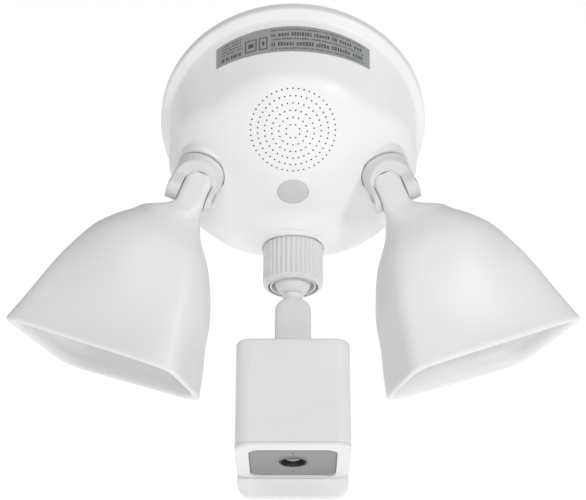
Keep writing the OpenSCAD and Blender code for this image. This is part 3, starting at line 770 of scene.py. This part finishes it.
def tongue_reach(x):
    """How far the tongue's round end stands past the pin, across its width."""
    arc = math.sqrt(max(0, 1 - (x / (TONGUE_HALF + 0.1)) ** 2))
    return TONGUE_END - TONGUE_ARC + TONGUE_ARC * arc


def lamp_shell():
    """Bell, shoulder and tongue as one skin, with a thick rolled lip and a cavity behind the lens."""
    outer = [lamp_ring(s) for s in np.linspace(LIP / 2, 88, 45)]
    for s in np.linspace(89, 98.6, 17):
        blend = float(smoothstep(s, 88, 98.6)) ** 0.8
        outer.append((1 - blend) * lamp_ring(s) + blend * tongue_ring(LAMP_L - s, TONGUE_HALF, TONGUE_R))
    outer += [tongue_ring(LAMP_L - s, TONGUE_HALF, TONGUE_R) for s in (99.8, 102, LAMP_L)]
    for z in (2.0, 4.0, 5.0, 6.5, 8.0, 9.5, 10.8, 11.8, 12.6, 13.1, 13.35):
        thick = min(TONGUE_R, math.sqrt(TONGUE_END**2 - z * z))
        along = max(0, (z - TONGUE_END + TONGUE_ARC) / TONGUE_ARC)
        half = (TONGUE_HALF + 0.1) * math.sqrt(max(0.01, 1 - along**2))
        outer.append(tongue_ring(-z, min(half, TONGUE_HALF), thick))
    lip = []
    for a in np.linspace(0, math.pi, 11)[1:]:
        lip.append(lamp_ring(LIP / 2 * (1 - math.sin(a)), LIP / 2 * (1 - math.cos(a))))
    extra = lambda s: (LIP - LAMP_WALL) * float(1 - smoothstep(s, 3, 9))
    inner = [lamp_ring(s, LAMP_WALL + extra(s)) for s in np.linspace(3, 11, 7)]
    inner += [lamp_ring(s, LAMP_WALL) for s in np.linspace(14, CAVITY, 20)]
    shell = loft("lamp_bell_left", outer[::-1] + lip + inner, PIN, LAMP, sharp=38)
    side = np.stack([LAMP[:, 1], LAMP[:, 2], LAMP[:, 0]], axis=1)
    bore = placed(cylinder_points(PIN_BORE, -20, 20, 40), PIN, side)
    boolean(shell, cutter("pin_bore", [(bore, 40)]), "DIFFERENCE")
    dress_pair(shell, lamp_white, "lamp", "lamp_white", "lamp_shell")


# ---------------------------------------------------------------- knuckles
EAR_R = 7.4
EAR_FACE = -13.4  # the outer ear's face


def ear_half(z):
    """Half the width of the fork along y: round past the pin, and flaring into the flange."""
    if z > 0:
        return math.sqrt(max(0.0, EAR_R**2 - z * z))
    return EAR_R + 7.4 * float(smoothstep(-z, 3.5, 14.5)) ** 1.5


def fork_outline():
    """The fork's outline in its y and z, as points of one closed prism."""
    zs = np.concatenate([EAR_R * np.sin(np.linspace(1.5, 0, 12)), np.linspace(-1, -15.2, 16)])
    right = [(ear_half(z), z) for z in zs]
    left = [(-y, z) for y, z in right[::-1]]
    ring = np.array(right + left)
    flat = lambda x: np.stack([np.full(len(ring), x), ring[:, 0], ring[:, 1]], axis=1)
    return np.concatenate([flat(-20), flat(20)]), len(ring)


def yoke():
    """The forked knuckle: a round flange and two ears that follow its circle, with soft corners."""
    def drum(name, radius, low, high, sides, basis=KNUCKLE):
        return cutter(name, [(placed(cylinder_points(radius, low, high, sides), PIN, basis), sides)])

    def block(name, x0, x1, z0, z1):
        corners = ((x0, -30), (x1, -30), (x1, 30), (x0, 30))
        box = [(x, y, z) for z in (z0, z1) for x, y in corners]
        return cutter(name, [(placed(box, PIN, KNUCKLE), 4)])

    bar = drum("knuckle_fork_left", FLANGE_R + 0.1, -16, EAR_R + 1, 120)
    prism, count = fork_outline()
    boolean(bar, cutter("outline", [(placed(prism, PIN, KNUCKLE), count)]), "INTERSECT")
    boolean(bar, block("outer_face", EAR_FACE, 30, -17, 20), "INTERSECT")
    edge = [(0.01, -19.4), (FLANGE_R - 0.6, -19.4), (FLANGE_R, -18.8), (FLANGE_R, -16.6)]
    edge += [(FLANGE_R - 0.5, -15.6), (FLANGE_R - 1.6, -15.0), (0.01, -15.0)]
    boolean(bar, lathe("flange", edge, PIN, KNUCKLE, 120), "UNION")
    boolean(bar, drum("stem", SWIVEL_R, -38, -17, 72), "UNION")
    side = np.stack([KNUCKLE[:, 1], KNUCKLE[:, 2], KNUCKLE[:, 0]], axis=1)
    wide = TONGUE_HALF + 0.15
    crotch = [(tongue_reach(x) + 0.3, x) for x in np.linspace(-TONGUE_HALF, TONGUE_HALF, 25)]
    round_slot = [(0.01, -wide)] + crotch + [(0.01, wide)]
    tube = lathe("slot_end", [(r, x + TONGUE_X) for r, x in round_slot], PIN, side, 96)
    boolean(bar, tube, "DIFFERENCE")
    boolean(bar, block("slot", TONGUE_X - wide, TONGUE_X + wide, -5.2, 20), "DIFFERENCE")
    remesh = bar.modifiers.new("remesh", "REMESH")
    remesh.mode = "VOXEL"
    remesh.voxel_size = 0.4 * MM
    smooth = bar.modifiers.new("smooth", "SMOOTH")
    smooth.factor = 0.5
    smooth.iterations = 12
    apply_modifiers(bar)
    for radius, low, high in ((PIN_BORE, -20, 20), (5.0, 11.6, 30), (5.2, -30, -11.6)):
        boolean(bar, drum("bore", radius, low, high, 48, side), "DIFFERENCE")
    boolean(bar, drum("wireway", 4.5, -60, -12, 40), "DIFFERENCE")
    shade(bar, 40)
    dress_pair(bar, joint_white, "knuckle", "joint_white", "yoke")


canopy()
label()
sensor_window()
lock_collar()
ball_liner()
camera_stem()
camera_housing()
camera_front()
face_panel()
camera_lens()
camera_chin()
lamp_shell()
yoke()


# ---------------------------------------------------------------- stage
SKY = 0.33
FLOOR_GLOW = 0.6
LIGHTS = [
    ("key", (1.0, -1.0, 1.2), 0.3, 10.0),
    ("top", (-0.3, -1.3, 1.5), 1.0, 8.5),
    ("front", (-0.1, -2.0, 0.5), 1.0, 6.0),
]


def stage():
    """A pale floor well below, plain soft lights, and the photograph's viewpoint."""
    mesh = bpy.data.meshes.new("floor")
    size, height = 9.0, -0.75
    corners = [(-size, -size), (size, -size), (size, size), (-size, size)]
    mesh.from_pydata([(x, y, height) for x, y in corners], [], [(0, 1, 2, 3)])
    floor = bpy.data.objects.new("floor", mesh)
    bpy.context.scene.collection.objects.link(floor)
    mat = bpy.data.materials.new("floor_paper")
    mat.use_nodes = True
    shader = mat.node_tree.nodes["Principled BSDF"]
    shader.inputs["Base Color"].default_value = (0.95, 0.95, 0.95, 1)
    shader.inputs["Roughness"].default_value = 0.9
    shader.inputs["Emission Color"].default_value = (1, 1, 1, 1)
    shader.inputs["Emission Strength"].default_value = FLOOR_GLOW
    mesh.materials.append(mat)

    world = bpy.data.worlds.new("studio")
    bpy.context.scene.world = world
    world.use_nodes = True
    sky = world.node_tree.nodes["Background"]
    sky.inputs["Color"].default_value = (1, 1, 1, 1)
    sky.inputs["Strength"].default_value = SKY

    for name, spot, size, power in LIGHTS:
        light = bpy.data.lights.new(name, "AREA")
        light.energy = power
        light.size = size
        lamp = bpy.data.objects.new(name, light)
        lamp.location = spot
        aim = Vector((0, -0.06, -0.05)) - Vector(spot)
        lamp.rotation_euler = aim.to_track_quat("-Z", "Y").to_euler()
        bpy.context.scene.collection.objects.link(lamp)

    camera = bpy.data.cameras.new("camera")
    camera.lens = 93.54
    camera.sensor_width = 36
    eye = bpy.data.objects.new("camera", camera)
    elevation, distance = math.radians(35.92), 0.93
    target = Vector((0, -0.0437, -0.0644))
    eye.location = target + distance * Vector((0, -math.cos(elevation), math.sin(elevation)))
    eye.rotation_euler = (target - eye.location).to_track_quat("-Z", "Y").to_euler()
    bpy.context.scene.collection.objects.link(eye)
    bpy.context.scene.camera = eye
    bpy.context.scene.view_settings.view_transform = "Standard"


stage()
